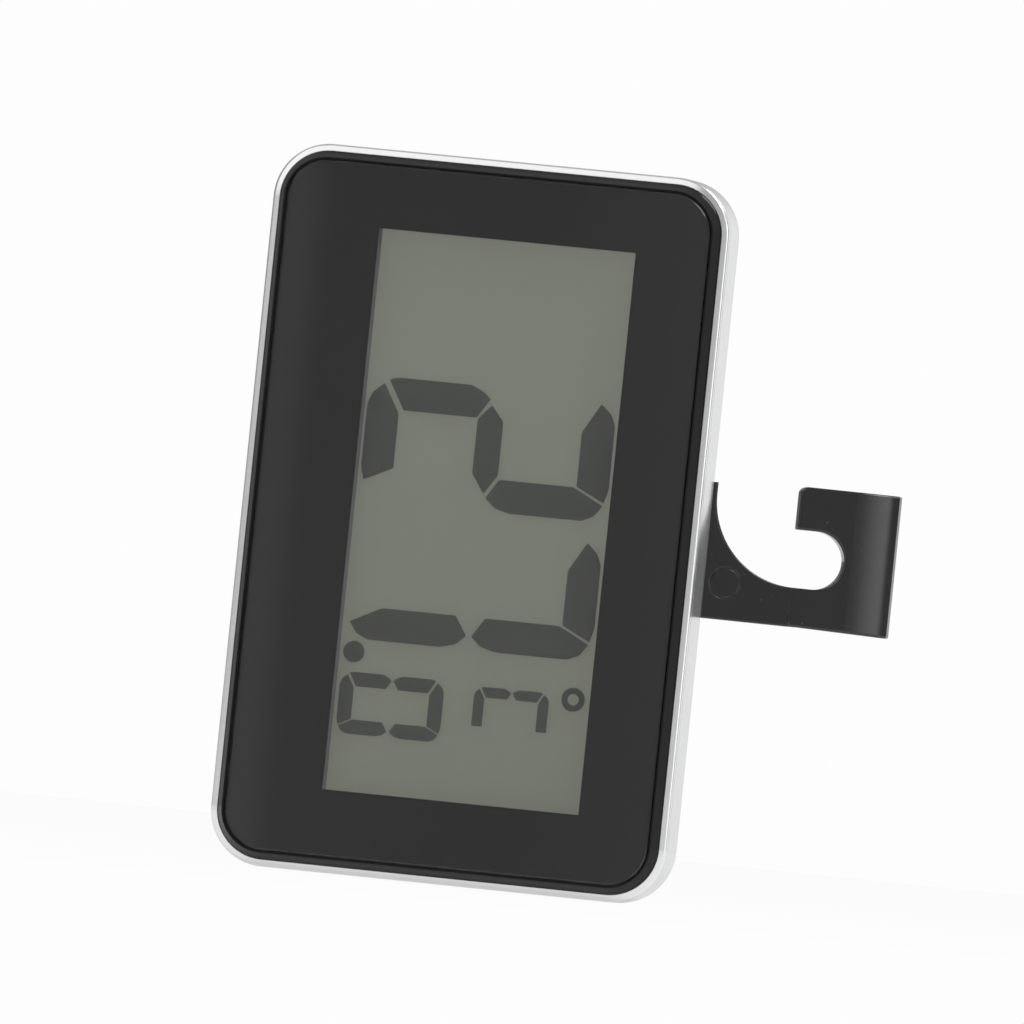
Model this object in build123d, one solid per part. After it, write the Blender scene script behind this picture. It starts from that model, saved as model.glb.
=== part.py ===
from build123d import *
import math
import os

# Digital maximum-minimum thermometer with a swing-out hook on its back.
# Frame: +Z up along the casing's long side, the display faces -Y, and the origin
# is the centre of the front lens's outer face. All lengths in millimetres.

# ---- Casing ----
CASE_W = 56.0           # along X
CASE_H = 87.5           # along Z
CASE_R = 6.8            # corner radius of the outline
BACK_Y = 10.3           # back face, measured from the front of the lens
SEAM_Y = 2.6            # joint between the bezel ring and the back shell
WALL = 1.3              # wall of the back shell
BACK_ROUND = 1.5        # rounding of the shell's rear edge
BACK_BREAK = 0.15       # small chamfer round the openings in the back face
SEAM_BREAK = 0.12       # small chamfer on both sides of the seam
INNER_Y = BACK_Y - WALL

# ---- Bezel ring and front frame ----
RING_W = 0.85           # width of the bright ring seen from the front
RING_Y = 1.55           # its inner front edge
RING_FALL = 0.26        # its front face slopes back this much towards the outside
RING_ROUND = 0.35
FRAME_W = CASE_W - 2 * RING_W
FRAME_H = CASE_H - 2 * RING_W
FRAME_R = CASE_R - RING_W
RIM_Y = 0.05            # top of the sloped rim
RIM_FOOT_Y = 1.65       # where the slope meets the ring
RIM_RUN = 0.8           # width of the slope
RIM_LIP = 0.2           # flat lip inside the slope
SKIRT_Y = 4.6           # rear end of the skirt that enters the shell
SKIRT_GAP = 0.1         # clearance between skirt and shell
SKIRT_WALL = 1.3

# ---- Lens, printed mask and window ----
LENS_GAP = 0.15         # groove round the lens
LENS_T = 1.0
LENS_BREAK = 0.2
LENS_W = FRAME_W - 2 * (RIM_RUN + RIM_LIP + LENS_GAP)
LENS_H = FRAME_H - 2 * (RIM_RUN + RIM_LIP + LENS_GAP)
LENS_R = FRAME_R - RIM_RUN - RIM_LIP - LENS_GAP
FILM_GAP = 0.02         # air between films and plates
MASK_Y = (LENS_T + FILM_GAP, 1.10)
TAPE_Y = (1.12, 1.25)
TAPE_W = 6.0            # width of the tape ring
SHELF_Y = (1.25, 2.2)   # shelf of the frame behind the lens
WINDOW_W = 31.5         # along X
WINDOW_H = 67.9         # along Z
WINDOW_X = 1.33         # centre of the window
WINDOW_Z = 0.24
SHELF_STEP = 0.3        # the shelf's opening is this much larger all round

# ---- Liquid crystal cell ----
CELL_W = 36.0
CELL_H = 74.0
LEDGE = 2.2             # contact ledge on the front glass, on the -X side
POLARIZER_Y = (2.25, 2.38)
GLASS_T = 0.55
FRONT_GLASS_Y = (2.40, 2.40 + GLASS_T)
REAR_GLASS_Y = (3.00, 3.00 + GLASS_T)
SEAL_W = 0.8
SEGMENT_Y = (2.96, 2.99)
REFLECTOR_Y = (3.57, 3.70)
HOLDER_Y = (2.2, 4.3)
HOLDER_SEAT_Y = 3.75    # rear bars of the holder start here
HOLDER_RIM = 1.0
HOLDER_BAR = 3.0
FIT = 0.15              # loose fit between boxed-in pieces

# ---- Digits, in reading direction (x to the right, y up) ----
DIGIT_W = 15.0
DIGIT_H = 30.45
DIGIT_STROKE = 3.95
TENS_X = -8.77
UNITS_X = 8.01
DIGIT_Y = -0.18
POINT_AT = (17.09, -13.96)
POINT_R = 1.3
TENTH_W = 7.5
TENTH_H = 12.8
TENTH_STROKE = 1.75
TENTH_AT = (23.26, -8.86)
UNIT_W = 4.8
UNIT_H = 9.2
UNIT_STROKE = 1.3
UNIT_AT = (22.14, 5.83)
DEGREE_AT = (20.22, 13.34)
DEGREE_R = 1.45
DEGREE_HOLE_R = 0.68

# ---- Circuit board ----
BOARD_Y = (4.3, 5.3)
BOARD_W = 49.6
BOARD_H = 76.0
BOARD_R = 1.5
POST_X = 23.0
POST_Z = 14.0
POST_R = 1.5
BOARD_SCREW_R = 0.6
BOARD_SCREW_HEAD_R = 1.2
BOARD_SCREW_HEAD_T = 0.6

# ---- Case screws at the four corners ----
SCREW_INSET = 5.2
SCREW_R = 0.75
SCREW_HEAD_R = 1.6
SCREW_HEAD_T = 1.0
SCREW_SINK = 0.3        # head below the back face
SCREW_BREAK = 0.12      # chamfer round the head
BOSS_R = 1.9            # in the front frame
SHELL_BOSS_R = 2.7
BOSS_JOINT_Y = 6.0      # where the two bosses meet
SCREW_TIP_Y = 2.7

# ---- Coin cell and its round door ----
CELL_X = 0.0
CELL_Z = -25.5
COIN_R = 10.0
COIN_Y = (5.7, 8.9)
COIN_CAP_R = 8.4
COIN_CAP_T = 0.5
COIN_GASKET_R = 8.8
DOOR_R = 11.5
DOOR_HOLE_R = 11.65
DOOR_OUT_Y = BACK_Y - 0.1
LUG_R = 12.5
LUG_Y = (8.3, 8.9)
LUG_DEG = 34.0
LUG_TURN = 60.0         # the door turns this far to free its lugs
LUG_NOTCH_DEG = 44.0
WELL_R = 12.9           # inside of the battery well
WELL_WALL = 1.0
WELL_Y = 5.5
COIN_SLOT = (13.0, 1.6, 0.8)
SLOT_BREAK = 0.12

# ---- Push buttons on the back ----
BUTTON_X = 9.0
BUTTON_Z = 27.0
BUTTON_R = 2.6
BUTTON_CLEAR = 0.12
BUTTON_SINK = 0.3
BUTTON_FLANGE_R = 3.3
BUTTON_FLANGE_Y = (8.3, 8.85)
BUTTON_STEM_R = 1.1
BUTTON_STEM_Y = 7.4
SWITCH_W = 4.5
SWITCH_T = 1.1
SWITCH_KEY_R = 0.9
SWITCH_TOP_Y = 6.8

# ---- Hook arm ----
HINGE_X = 22.0
HINGE_Y = BACK_Y - 1.5
BARREL_R = 1.5
BEHIND_DEG = 17.0       # how far the open arm points behind the casing
PIN_R = 0.7
PIN_RUN = 0.05          # running clearance of the pin in the arm
ARM_LEN = 29.19         # hinge axis to the far end
ARM_TOP = 8.43
ARM_BOTTOM = -8.57
WEB_TOP = 7.9
WEB_T = 2.4
TIP_S = 16.3            # the thick outer block starts here
TIP_T = 3.0
TIP_LIFT = 0.05         # the block's lower edge is this much higher
TIP_DROP = 0.30         # fall of the block's lower edge towards the far end
END_CURVE_R = 10.7      # the block's outer face curves in towards its far end
END_CURVE_DEG = 30.0
END_LEAN = 0.55         # the end face leans out this much towards the rear
EDGE_ROUND = 0.3        # on the outer block
WEB_ROUND = 0.2
THROAT_R = 10.25        # large arc of the throat
THROAT_S = 16.65
HOOK_R = 3.51           # small arc of the hook
HOOK_S = 18.98
HOOK_FLOOR = -3.82      # lowest point of the throat
MOUTH_S = 16.46         # the mouth's edge on the block
MOUTH_ROUND = 0.9       # upper corner of the block beside the mouth
MARK_S = 8.4            # shallow moulding ring on the arm
MARK_Z = -4.1
MARK_R = 1.95
MARK_LINE = 0.2
MARK_DEPTH = 0.12

# ---- Recess for the folded arm ----
POCKET_X = -7.7
POCKET_Y = 7.1
POCKET_BOTTOM = -9.1
POCKET_TOP = 8.75
POCKET_WALL = 1.1
SCOOP_X = -13.2         # finger scoop at the recess's end
SCOOP_HALF = 4.8
KNUCKLE_R = 2.2
KNUCKLE_LEN = 2.5
PIN_END = 1.9           # how far the pin enters each knuckle

# ---- Air slots over the sensor ----
VENT_COUNT = 5
VENT_PITCH = 2.4
VENT_W = 0.9
VENT_H = 6.0
VENT_Z = 36.5

QUARTERS = [(sx, sz) for sx in (-1, 1) for sz in (-1, 1)]
SCREW_PLACES = [(sx * (CASE_W / 2 - SCREW_INSET), sz * (CASE_H / 2 - SCREW_INSET)) for sx, sz in QUARTERS]
POST_PLACES = [(sx * POST_X, sz * POST_Z) for sx, sz in QUARTERS]
BUTTON_PLACES = {"max_min_button": -BUTTON_X, "unit_button": BUTTON_X}


def front_plane(y):
    """Plane parallel to the display, seen from the front: local x is X, local y is Z."""
    return Plane(origin=(0, y, 0), x_dir=(1, 0, 0), z_dir=(0, -1, 0))


def prism(sketch, y_front, y_rear):
    """Solid with a section drawn in X and Z, from y_front to y_rear."""
    return extrude(front_plane(y_rear) * sketch, amount=y_rear - y_front)


def disc(x, z, radius, y_front, y_rear):
    return prism(Pos(x, z) * Circle(radius), y_front, y_rear)


def brick(x0, x1, y0, y1, z0, z1):
    centre = ((x0 + x1) / 2, (y0 + y1) / 2, (z0 + z1) / 2)
    return Pos(*centre) * Box(x1 - x0, y1 - y0, z1 - z0)


def plate(width, height, radius):
    return RectangleRounded(width, height, radius)


def pie(radius, start_deg, span_deg):
    """Triangle wide enough to cut a sector of the given radius."""
    reach = 2 * radius
    half = math.radians(span_deg / 2)
    middle = math.radians(start_deg)
    first = (reach * math.cos(middle - half), reach * math.sin(middle - half))
    last = (reach * math.cos(middle + half), reach * math.sin(middle + half))
    return make_face(Polyline((0, 0), first, last, close=True))


# ---- Casing pieces ----
def case_outline():
    return plate(CASE_W, CASE_H, CASE_R)


def make_bezel_ring():
    """Bright ring with a gently sloping front face and a rounded outer edge."""
    outer_y = RING_Y + RING_FALL
    slope = math.degrees(math.atan(RING_W / RING_FALL))
    ring = prism(case_outline(), outer_y, SEAM_Y)
    ring += extrude(front_plane(outer_y) * case_outline(), amount=RING_FALL, taper=slope)
    outer_edge = [edge for edge in ring.edges() if abs(edge.center().Y - outer_y) < RING_FALL / 10]
    ring = fillet(outer_edge, RING_ROUND)
    ring = chamfer(ring.edges().group_by(Axis.Y)[-1], SEAM_BREAK)
    return ring - prism(plate(FRAME_W, FRAME_H, FRAME_R), RING_Y - 1, SEAM_Y + 1)


def window_opening(step):
    return Pos(WINDOW_X, WINDOW_Z) * Rectangle(WINDOW_W + 2 * step, WINDOW_H + 2 * step)


def make_front_frame():
    slope = math.degrees(math.atan(RIM_RUN / (RIM_FOOT_Y - RIM_Y)))
    foot = front_plane(RIM_FOOT_Y) * plate(FRAME_W, FRAME_H, FRAME_R)
    frame = extrude(foot, amount=RIM_FOOT_Y - RIM_Y, taper=slope)
    frame += prism(plate(FRAME_W, FRAME_H, FRAME_R), RIM_FOOT_Y, SEAM_Y)
    inset = WALL + SKIRT_GAP
    skirt = plate(CASE_W - 2 * inset, CASE_H - 2 * inset, CASE_R - inset)
    frame += prism(skirt, SEAM_Y, SKIRT_Y)
    pocket = plate(LENS_W + 2 * LENS_GAP, LENS_H + 2 * LENS_GAP, LENS_R + LENS_GAP)
    frame -= prism(pocket, -1, SHELF_Y[0])
    inset += SKIRT_WALL
    hollow = plate(CASE_W - 2 * inset, CASE_H - 2 * inset, CASE_R - inset)
    frame -= prism(hollow, SHELF_Y[1], SKIRT_Y + 1)
    for x, z in SCREW_PLACES:
        frame += disc(x, z, BOSS_R, SHELF_Y[1], BOSS_JOINT_Y)
        frame -= disc(x, z, SCREW_R, SCREW_TIP_Y - 0.2, BOSS_JOINT_Y + 1)
    for x, z in POST_PLACES:
        frame += disc(x, z, POST_R, SHELF_Y[1], BOARD_Y[0])
        frame -= disc(x, z, BOARD_SCREW_R, SCREW_TIP_Y - 0.2, BOARD_Y[0] + 1)
    return frame - prism(window_opening(SHELF_STEP), 0, SEAM_Y)


def make_front_lens():
    lens = prism(plate(LENS_W, LENS_H, LENS_R), 0, LENS_T)
    return chamfer(lens.edges().group_by(Axis.Y)[0], LENS_BREAK)


def make_window_mask():
    inset = LENS_BREAK / 2
    sheet = plate(LENS_W - 2 * inset, LENS_H - 2 * inset, LENS_R - inset)
    return prism(sheet - window_opening(0), *MASK_Y)


def make_lens_tape():
    outer = plate(LENS_W - 1, LENS_H - 1, LENS_R - 0.5)
    inner = plate(LENS_W - 2 * TAPE_W, LENS_H - 2 * TAPE_W, LENS_R)
    return prism(outer - inner - window_opening(1.5), *TAPE_Y)


def make_back_shell():
    outer = prism(case_outline(), SEAM_Y, BACK_Y)
    outer = fillet(outer.edges().group_by(Axis.Y)[-1], BACK_ROUND)
    outer = chamfer(outer.edges().group_by(Axis.Y)[0], SEAM_BREAK)
    hollow = plate(CASE_W - 2 * WALL, CASE_H - 2 * WALL, CASE_R - WALL)
    shell = outer - prism(hollow, SEAM_Y - 1, INNER_Y)
    # Box behind the arm's recess, the scoop and the two knuckles for the pin
    floor_y = POCKET_Y - POCKET_WALL
    inner = brick(POCKET_X - POCKET_WALL, CASE_W / 2, floor_y, BACK_Y,
                  POCKET_BOTTOM - POCKET_WALL, POCKET_TOP + POCKET_WALL)
    inner += brick(SCOOP_X - POCKET_WALL, POCKET_X, floor_y, BACK_Y,
                   -SCOOP_HALF - POCKET_WALL, SCOOP_HALF + POCKET_WALL)
    for end, way in ((POCKET_BOTTOM, -1), (POCKET_TOP, 1)):
        knuckle = Cylinder(KNUCKLE_R, KNUCKLE_LEN)
        inner += Pos(HINGE_X, HINGE_Y, end + way * KNUCKLE_LEN / 2) * knuckle
    # Bosses for the case screws, the battery well and guides round the buttons
    for x, z in SCREW_PLACES:
        inner += disc(x, z, SHELL_BOSS_R, BOSS_JOINT_Y, BACK_Y)
    well = Circle(WELL_R + WELL_WALL) - Circle(WELL_R)
    inner += prism(Pos(CELL_X, CELL_Z) * well, WELL_Y, BACK_Y)
    shell += inner & outer
    shell -= recess_for_arm()
    shell -= Pos(HINGE_X, HINGE_Y, 0) * Cylinder(PIN_R, pin_span()[1] - pin_span()[0])
    for x, z in SCREW_PLACES:
        shell -= disc(x, z, SCREW_R + 0.25, BOSS_JOINT_Y - 1, BACK_Y + 1)
        shell -= disc(x, z, SCREW_HEAD_R + 0.15, BACK_Y - SCREW_SINK - SCREW_HEAD_T, BACK_Y + 1)
    for x in BUTTON_PLACES.values():
        shell -= disc(x, BUTTON_Z, BUTTON_R + BUTTON_CLEAR, INNER_Y - 1, BACK_Y + 1)
    door_hole = Circle(DOOR_HOLE_R)
    for side in (0, 180):
        door_hole += Circle(LUG_R + 0.2) & pie(LUG_R, side - LUG_TURN, LUG_NOTCH_DEG)
    shell -= prism(Pos(CELL_X, CELL_Z) * door_hole, WELL_Y, BACK_Y + 1)
    contact_gap = brick(CELL_X + WELL_R - 3, CELL_X + WELL_R + 3, WELL_Y - 1, LUG_Y[0],
                        CELL_Z - 2.6, CELL_Z + 2.6)
    shell -= contact_gap
    for i in range(VENT_COUNT):
        x = (i - (VENT_COUNT - 1) / 2) * VENT_PITCH
        slot = Pos(x, VENT_Z) * Rot(0, 0, 90) * SlotOverall(VENT_H, VENT_W)
        shell -= prism(slot, INNER_Y - 1, BACK_Y + 1)
    return chamfer(back_openings(shell), BACK_BREAK)


def back_openings(shell):
    """Edges of everything that is cut into the flat back face."""
    face = shell.faces().sort_by(Axis.Y)[-1]
    edges = [edge for wire in face.inner_wires() for edge in wire.edges()]
    side_x = CASE_W / 2 - BACK_ROUND
    for edge in face.outer_wire().edges():
        middle = edge.position_at(0.5)
        if abs(middle.X) < side_x - 1 and abs(middle.Z) < POCKET_TOP + 1:
            edges.append(edge)
    return edges


def pin_span():
    """Lower and upper end of the hinge pin; both lie equally far from z = 0."""
    reach = max(-POCKET_BOTTOM, POCKET_TOP) + PIN_END
    return -reach, reach


def recess_for_arm():
    """Recess for the folded arm, ramped towards the side so that the open arm lies on it."""
    ramp = math.tan(math.radians(BEHIND_DEG))
    side_x = CASE_W / 2 + 2
    over = BACK_Y + 1
    profile = Polyline(
        (POCKET_X, over),
        (POCKET_X, POCKET_Y),
        (HINGE_X, POCKET_Y),
        (side_x, POCKET_Y + (side_x - HINGE_X) * ramp),
        (side_x, over),
        close=True,
    )
    recess = Pos(0, 0, POCKET_BOTTOM) * extrude(make_face(profile), amount=POCKET_TOP - POCKET_BOTTOM)
    scoop = Polyline(
        (SCOOP_X, BACK_Y), (POCKET_X + 1, POCKET_Y + 0.5), (POCKET_X + 1, over), (SCOOP_X, over), close=True)
    return recess + Pos(0, 0, -SCOOP_HALF) * extrude(make_face(scoop), amount=2 * SCOOP_HALF)


def make_case_screws():
    head_y = BACK_Y - SCREW_SINK
    screws = []
    for x, z in SCREW_PLACES:
        screw = disc(x, z, SCREW_HEAD_R, head_y - SCREW_HEAD_T, head_y)
        screw = chamfer(screw.edges().group_by(Axis.Y)[-1], SCREW_BREAK)
        screw += disc(x, z, SCREW_R, SCREW_TIP_Y, head_y - SCREW_HEAD_T)
        for arm in (0, 90):
            cross = Pos(x, z) * Rot(0, 0, arm) * Rectangle(2.0, 0.45)
            screw -= prism(cross, head_y - 0.6, head_y + 1)
        screws.append(screw)
    return Compound(children=screws)


# ---- Liquid crystal display ----
def cell_plate(ledge, inset=0.0):
    """Plate of the cell; its -X edge reaches out by the ledge."""
    width = CELL_W + ledge - 2 * inset
    return Pos(WINDOW_X - ledge / 2, WINDOW_Z) * Rectangle(width, CELL_H - 2 * inset)


def make_polarizer():
    return prism(cell_plate(0, 0.5), *POLARIZER_Y)


def make_front_glass():
    return prism(cell_plate(LEDGE), *FRONT_GLASS_Y)


def make_rear_glass():
    return prism(cell_plate(0), *REAR_GLASS_Y)


def make_reflector():
    return prism(cell_plate(0, 0.5), *REFLECTOR_Y)


def make_cell_seal():
    ring = cell_plate(0, 0.3) - cell_plate(0, 0.3 + SEAL_W)
    return prism(ring, FRONT_GLASS_Y[1], REAR_GLASS_Y[0])


def make_cell_holder():
    outer = cell_plate(LEDGE, -HOLDER_RIM)
    holder = prism(outer, *HOLDER_Y)
    holder -= prism(cell_plate(LEDGE, -FIT), HOLDER_Y[0] - 1, HOLDER_SEAT_Y)
    holder -= prism(cell_plate(0, HOLDER_BAR), 0, HOLDER_Y[1] + 1)
    holder -= prism(strip_section(FIT), 0, HOLDER_Y[1] + 1)
    for x, z in SCREW_PLACES:
        holder -= disc(x, z, BOSS_R + 0.3, 0, HOLDER_Y[1] + 1)
    return holder


def strip_section(grow):
    middle = WINDOW_X - CELL_W / 2 - LEDGE / 2
    return Pos(middle, WINDOW_Z) * Rectangle(LEDGE - 0.6 + 2 * grow, CELL_H - 12 + 2 * grow)


def make_contact_strip():
    return prism(strip_section(0), FRONT_GLASS_Y[1], BOARD_Y[0])


def bar_shapes(width, height, stroke, square_ends=False):
    """The seven bars of a digit, round its centre, as lists of points."""
    a = width / 2
    b = height / 2
    s = stroke
    corner = [(a - 0.60 * s, b - 0.12 * s), (a - 1.03 * s, b - s)]
    if square_ends:
        corner = [(a, b), (a, b - s)]
    top = [(-a + 0.20 * s, b - 0.48 * s), (-a + 0.50 * s, b - 0.14 * s), (-a + 0.85 * s, b)]
    top += [(a - 1.0 * s, b)] + corner + [(-a + 1.10 * s, b - s)]
    right = [(a - s, b - 1.10 * s), (a - 0.51 * s, b - 0.14 * s), (a - 0.17 * s, b - 0.38 * s)]
    right += [(a, b - 0.75 * s), (a, 0.85 * s), (a - 0.13 * s, 0.38 * s), (a - 0.41 * s, 0.08 * s)]
    right += [(a - s, 0.46 * s)]
    left = [(-a + 0.09 * s, b - 0.62 * s), (-a, b - 0.86 * s), (-a, 0.69 * s)]
    left += [(-a + 0.19 * s, 0.27 * s), (-a + 0.38 * s, 0.06 * s), (-a + 0.98 * s, 0.44 * s)]
    left += [(-a + 0.98 * s, b - 1.14 * s)]
    middle = [(-a + 0.56 * s, 0), (-a + 1.03 * s, 0.40 * s), (a - 1.12 * s, 0.40 * s)]
    middle += [(a - 0.52 * s, 0), (a - 1.12 * s, -0.40 * s), (-a + 1.03 * s, -0.40 * s)]
    return {
        "top": top,
        "upper_right": right,
        "lower_right": upside_down(right),
        "bottom": upside_down(top),
        "lower_left": upside_down(left),
        "upper_left": left,
        "middle": middle,
    }


def upside_down(points):
    return [(x, -y) for x, y in points]


def bars(names, shapes, at):
    """Chosen bars, moved to their place on the display."""
    faces = []
    for name in names:
        points = [display_point(x + at[0], y + at[1]) for x, y in shapes[name]]
        faces.append(make_face(Polyline(*points, close=True)))
    return faces


def display_point(x, y):
    """The digits read with the casing turned on its side, so right is down on the casing."""
    return (WINDOW_X + y, WINDOW_Z - x)


def make_segments():
    big = bar_shapes(DIGIT_W, DIGIT_H, DIGIT_STROKE)
    small = bar_shapes(TENTH_W, TENTH_H, TENTH_STROKE)
    unit = bar_shapes(UNIT_W, UNIT_H, UNIT_STROKE, square_ends=True)
    faces = bars(("top", "upper_right", "middle", "lower_left", "bottom"), big, (TENS_X, DIGIT_Y))
    faces += bars(("top", "upper_right", "lower_right"), big, (UNITS_X, DIGIT_Y))
    faces += bars([name for name in small if name != "middle"], small, TENTH_AT)
    faces += bars(("top", "upper_left", "lower_left", "bottom"), unit, UNIT_AT)
    faces.append(Pos(*display_point(*POINT_AT)) * Circle(POINT_R))
    faces.append(Pos(*display_point(*DEGREE_AT)) * (Circle(DEGREE_R) - Circle(DEGREE_HOLE_R)))
    return Compound(children=[prism(face, *SEGMENT_Y) for face in faces])


# ---- Circuit board and what is soldered to it ----
def make_board():
    outline = plate(BOARD_W, BOARD_H, BOARD_R)
    for x, z in SCREW_PLACES:
        outline -= Pos(x, z) * Circle(BOSS_R + 0.4)
    for x, z in POST_PLACES:
        outline -= Pos(x, z) * Circle(BOARD_SCREW_R + 0.1)
    return prism(outline, *BOARD_Y)


def make_board_screws():
    screws = []
    for x, z in POST_PLACES:
        screw = disc(x, z, BOARD_SCREW_HEAD_R, BOARD_Y[1], BOARD_Y[1] + BOARD_SCREW_HEAD_T)
        screws.append(screw + disc(x, z, BOARD_SCREW_R, SCREW_TIP_Y, BOARD_Y[1]))
    return Compound(children=screws)


def make_controller_chip():
    """Bare chip under a low dome of black resin."""
    dome_r = 4.5
    dome_h = 1.0
    ball_r = (dome_r ** 2 + dome_h ** 2) / (2 * dome_h)
    ball = Pos(0, BOARD_Y[1] + dome_h - ball_r, 17.0) * Sphere(ball_r)
    return ball & disc(0, 17.0, dome_r + 1, BOARD_Y[1], BOARD_Y[1] + dome_h + 1)


def make_quartz_crystal():
    can_r = 1.0
    return Pos(-15.0, BOARD_Y[1] + can_r, 17.0) * Cylinder(can_r, 6.0)


def make_thermistor():
    bead_y = 7.6
    bead = Pos(0, bead_y, VENT_Z) * Sphere(1.0)
    for side in (-1, 1):
        bead += disc(side * 0.6, VENT_Z, 0.2, BOARD_Y[1], bead_y)
    return bead


def chips(places, size):
    """Small two-ended components standing on the board's rear face."""
    length, width, height = size
    rows = []
    for x, z in places:
        rows.append(brick(x - length / 2, x + length / 2, BOARD_Y[1], BOARD_Y[1] + height,
                          z - width / 2, z + width / 2))
    return Compound(children=rows)


def make_capacitors():
    return chips([(-10.0 + 5.0 * i, 22.0) for i in range(5)], (1.6, 0.8, 0.8))


def make_resistors():
    return chips([(10.0 + 3.5 * i, 14.0) for i in range(4)], (1.6, 0.8, 0.5))


def make_switches():
    switches = []
    half = SWITCH_W / 2
    for x in BUTTON_PLACES.values():
        switch = brick(x - half, x + half, BOARD_Y[1], BOARD_Y[1] + SWITCH_T, BUTTON_Z - half, BUTTON_Z + half)
        switches.append(switch + disc(x, BUTTON_Z, SWITCH_KEY_R, BOARD_Y[1] + SWITCH_T, SWITCH_TOP_Y))
    return Compound(children=switches)


# ---- Coin cell, contacts and door ----
def make_coin_can():
    can = disc(CELL_X, CELL_Z, COIN_R, COIN_Y[0] + 0.3, COIN_Y[1])
    can = fillet(can.edges().group_by(Axis.Y)[-1], 0.3)
    return can - disc(CELL_X, CELL_Z, COIN_GASKET_R, 0, COIN_Y[0] + COIN_CAP_T + 0.6)


def make_coin_gasket():
    rear = COIN_Y[0] + COIN_CAP_T + 0.6
    ring = disc(CELL_X, CELL_Z, COIN_GASKET_R, COIN_Y[0] + 0.25, rear)
    return ring - disc(CELL_X, CELL_Z, COIN_CAP_R, 0, rear + 1)


def make_coin_cap():
    rear = COIN_Y[0] + COIN_CAP_T + 0.6
    cap = disc(CELL_X, CELL_Z, COIN_CAP_R, COIN_Y[0], rear)
    return chamfer(cap.edges().group_by(Axis.Y)[0], 0.2)


def make_negative_contact():
    """Flat spring strip between the board and the middle of the cell."""
    half = 6.0
    board = BOARD_Y[1]
    touch = COIN_Y[0]
    t = 0.2
    profile = Polyline(
        (-half, board), (-half + 3, board), (-1.5, touch - t), (1.5, touch - t), (3, board), (4, board),
        (4, board + t), (3.2, board + t), (1.7, touch), (-1.7, touch), (-half + 2.8, board + t), (-half, board + t),
        close=True,
    )
    strip = extrude(make_face(profile), amount=3.0)
    return Pos(CELL_X, 0, CELL_Z - 1.5) * strip


def make_positive_contact():
    """Upright blade that presses on the side of the cell."""
    t = 0.3
    x = CELL_X + COIN_R
    foot = brick(x, x + 4.5, BOARD_Y[1], BOARD_Y[1] + t, CELL_Z - 2, CELL_Z + 2)
    return foot + brick(x, x + t, BOARD_Y[1], COIN_Y[1] - 0.9, CELL_Z - 2, CELL_Z + 2)


def make_battery_door():
    door = disc(0, 0, DOOR_R, LUG_Y[1] + 0.02, DOOR_OUT_Y)
    door = chamfer(door.edges().group_by(Axis.Y)[-1], 0.25)
    lugs = Circle(LUG_R) - Circle(DOOR_R - 0.8)
    for side in (0, 180):
        door += prism(lugs & pie(LUG_R, side, LUG_DEG), LUG_Y[0], LUG_Y[1] + 0.02)
    length, width, depth = COIN_SLOT
    slot = SlotOverall(length, width)
    door -= prism(slot, DOOR_OUT_Y - depth, DOOR_OUT_Y + 1)
    for side in (-1, 1):
        door -= disc(0, side * 8.2, 0.6, DOOR_OUT_Y - 0.3, DOOR_OUT_Y + 1)
    face = door.faces().sort_by(Axis.Y)[-1]
    door = chamfer([edge for wire in face.inner_wires() for edge in wire.edges()], SLOT_BREAK)
    return Pos(CELL_X, 0, CELL_Z) * door


def make_button(x):
    face_y = BACK_Y - BUTTON_SINK
    cap = disc(x, BUTTON_Z, BUTTON_R, BUTTON_FLANGE_Y[1], face_y)
    cap = fillet(cap.edges().group_by(Axis.Y)[-1], 0.3)
    cap += disc(x, BUTTON_Z, BUTTON_FLANGE_R, *BUTTON_FLANGE_Y)
    return cap + disc(x, BUTTON_Z, BUTTON_STEM_R, BUTTON_STEM_Y, BUTTON_FLANGE_Y[0])


# ---- Hook arm and its pin ----
def make_hinge_pin():
    bottom, top = pin_span()
    return Pos(HINGE_X, HINGE_Y, 0) * Cylinder(PIN_R, top - bottom)


def throat():
    """Opening of the hook, in distance from the hinge and height."""
    floor = HOOK_FLOOR
    left = THROAT_S - THROAT_R
    open_top = ARM_TOP + 4
    diagonal = THROAT_R * math.sqrt(0.5)
    big_centre = floor + THROAT_R
    line = Line((left, open_top), (left, big_centre))
    line += ThreePointArc(
        (left, big_centre), (THROAT_S - diagonal, big_centre - diagonal), (THROAT_S, floor))
    line += Line((THROAT_S, floor), (HOOK_S, floor))
    line += ThreePointArc((HOOK_S, floor), (HOOK_S + HOOK_R, floor + HOOK_R), (HOOK_S, floor + 2 * HOOK_R))
    line += Line((HOOK_S, floor + 2 * HOOK_R), (MOUTH_S, floor + 2 * HOOK_R))
    line += Line((MOUTH_S, floor + 2 * HOOK_R), (MOUTH_S, open_top))
    line += Line((MOUTH_S, open_top), (left, open_top))
    return make_face(line)


def arm_piece(profile, bottom, top):
    """Section drawn across the arm, drawn out along the hinge and cut by the throat."""
    solid = Pos(0, 0, bottom) * extrude(profile, amount=top - bottom)
    return solid - prism(throat(), -TIP_T, TIP_T)


def tip_section():
    """Section of the thick outer block; its outer face ends in a shallow curve."""
    face_y = -TIP_T / 2
    turn = math.radians(END_CURVE_DEG)
    corner_s = ARM_LEN - END_LEAN
    curve_s = corner_s - END_CURVE_R * math.sin(turn)
    corner_y = face_y + END_CURVE_R * (1 - math.cos(turn))
    line = Line((TIP_S, face_y), (curve_s, face_y))
    line += JernArc((curve_s, face_y), (1, 0), END_CURVE_R, END_CURVE_DEG)
    line += Line((corner_s, corner_y), (ARM_LEN, -face_y))
    line += Line((ARM_LEN, -face_y), (TIP_S, -face_y))
    line += Line((TIP_S, -face_y), (TIP_S, face_y))
    return make_face(line)


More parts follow.
